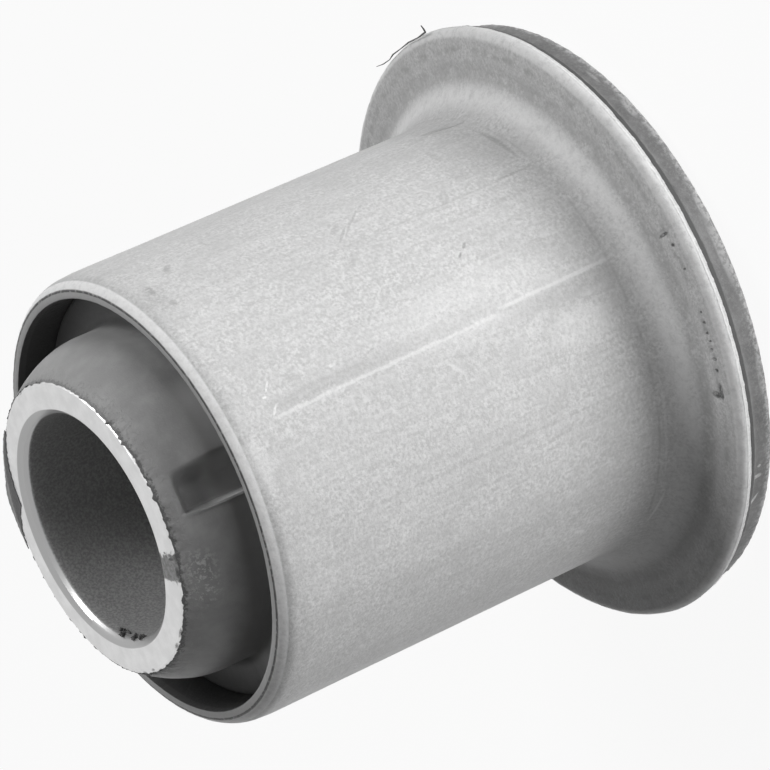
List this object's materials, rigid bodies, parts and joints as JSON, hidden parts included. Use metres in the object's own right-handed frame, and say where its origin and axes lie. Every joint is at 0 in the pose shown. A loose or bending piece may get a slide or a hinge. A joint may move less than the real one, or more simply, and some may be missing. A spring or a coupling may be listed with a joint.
{
  "type": "flanged rubber-metal bush",
  "caption": "Flanged suspension bush: a steel tube moulded in rubber inside a drawn steel sleeve, with a rubber pad over the back of its flange.",
  "frame": {"origin": "centre of the tube's rear end face, on which the bush stands", "axes": "+Z along the bore from the flanged end to the open front; -Y towards the side with the notch in the rubber boss"},
  "size_m": [0.065, 0.065, 0.062],
  "materials": {
    "tube_steel": "turned and faced bright steel, satin",
    "sleeve_steel": "drawn steel with a matt grey phosphate coat, fine grain and faint lines along the draw",
    "rubber": "moulded natural rubber, dull grey-black, with torn flash at its edges"
  },
  "bodies": {
    "root": {"inner_tube": "tube_steel", "outer_sleeve": "sleeve_steel", "rubber_body": "rubber"}
  },
  "joints": []
}
